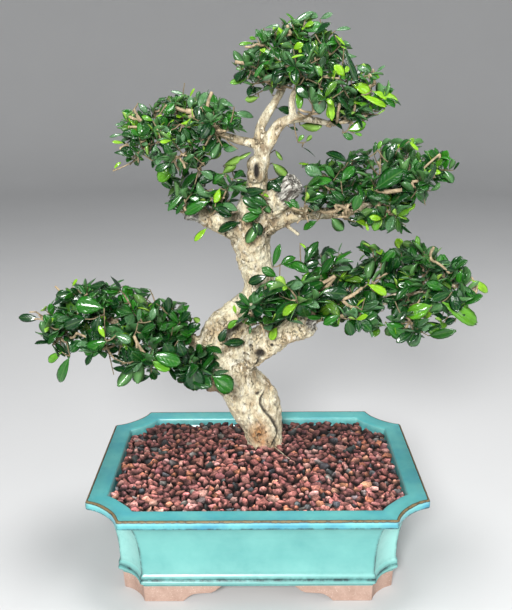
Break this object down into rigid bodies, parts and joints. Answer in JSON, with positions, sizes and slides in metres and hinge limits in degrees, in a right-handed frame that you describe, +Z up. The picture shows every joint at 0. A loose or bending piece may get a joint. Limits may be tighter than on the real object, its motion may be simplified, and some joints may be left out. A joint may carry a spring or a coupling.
{
  "type": "potted bonsai tree",
  "caption": "Fukien tea bonsai: old curved trunk with flat leafy pads, rooted under red lava rock in a turquoise glazed rectangular pot with notched corners and bare clay feet.",
  "frame": {"origin": "on the ground under the middle of the pot, which is also the bottom centre of the whole plant", "axes": "+X to the right along the pot's long side, +Y from the front of the tree to its back, +Z up"},
  "size_m": [0.4486, 0.221, 0.5152],
  "materials": {
    "glaze": "glossy turquoise glaze that breaks to brown on the rim's edge; the feet are bare pinkish clay",
    "screen_plastic": "coarse black mesh",
    "soil": "dark crumbly bark and compost mix",
    "lava_stone": "rough porous red-brown crushed lava",
    "bark": "pale fissured bark with dark pits",
    "leaf": "glossy dark green leaves on thin tan shoots"
  },
  "bodies": {
    "root": {"drain_screen_left": "screen_plastic", "drain_screen_right": "screen_plastic", "lava_rock": "lava_stone", "pot": "glaze", "soil": "soil", "spray_crown_01": "leaf", "spray_crown_02": "leaf", "spray_crown_03": "leaf", "spray_crown_04": "leaf", "spray_crown_05": "leaf", "spray_crown_06": "leaf", "spray_crown_07": "leaf", "spray_crown_08": "leaf", "spray_crown_09": "leaf", "spray_crown_10": "leaf", "spray_crown_11": "leaf", "spray_left_arm_01": "leaf", "spray_left_arm_02": "leaf", "spray_left_arm_03": "leaf", "spray_low_left_01": "leaf", "spray_low_left_02": "leaf", "spray_low_left_03": "leaf", "spray_low_left_04": "leaf", "spray_low_left_05": "leaf", "spray_low_left_06": "leaf", "spray_low_left_07": "leaf", "spray_low_left_08": "leaf", "spray_low_left_09": "leaf", "spray_low_left_10": "leaf", "spray_low_left_11": "leaf", "spray_low_right_01": "leaf", "spray_low_right_02": "leaf", "spray_low_right_03": "leaf", "spray_low_right_04": "leaf", "spray_low_right_05": "leaf", "spray_low_right_06": "leaf", "spray_low_right_07": "leaf", "spray_low_right_08": "leaf", "spray_low_right_09": "leaf", "spray_low_right_10": "leaf", "spray_low_right_11": "leaf", "spray_low_right_12": "leaf", "spray_mid_right_01": "leaf", "spray_mid_right_02": "leaf", "spray_mid_right_03": "leaf", "spray_mid_right_04": "leaf", "spray_mid_right_05": "leaf", "spray_mid_right_06": "leaf", "spray_mid_right_07": "leaf", "spray_mid_right_08": "leaf", "spray_mid_right_09": "leaf", "spray_up_left_01": "leaf", "spray_up_left_02": "leaf", "spray_up_left_03": "leaf", "spray_up_left_04": "leaf", "spray_up_left_05": "leaf", "spray_up_left_06": "leaf", "spray_up_left_07": "leaf", "spray_up_left_08": "leaf", "trunk": "bark"}
  },
  "joints": []
}
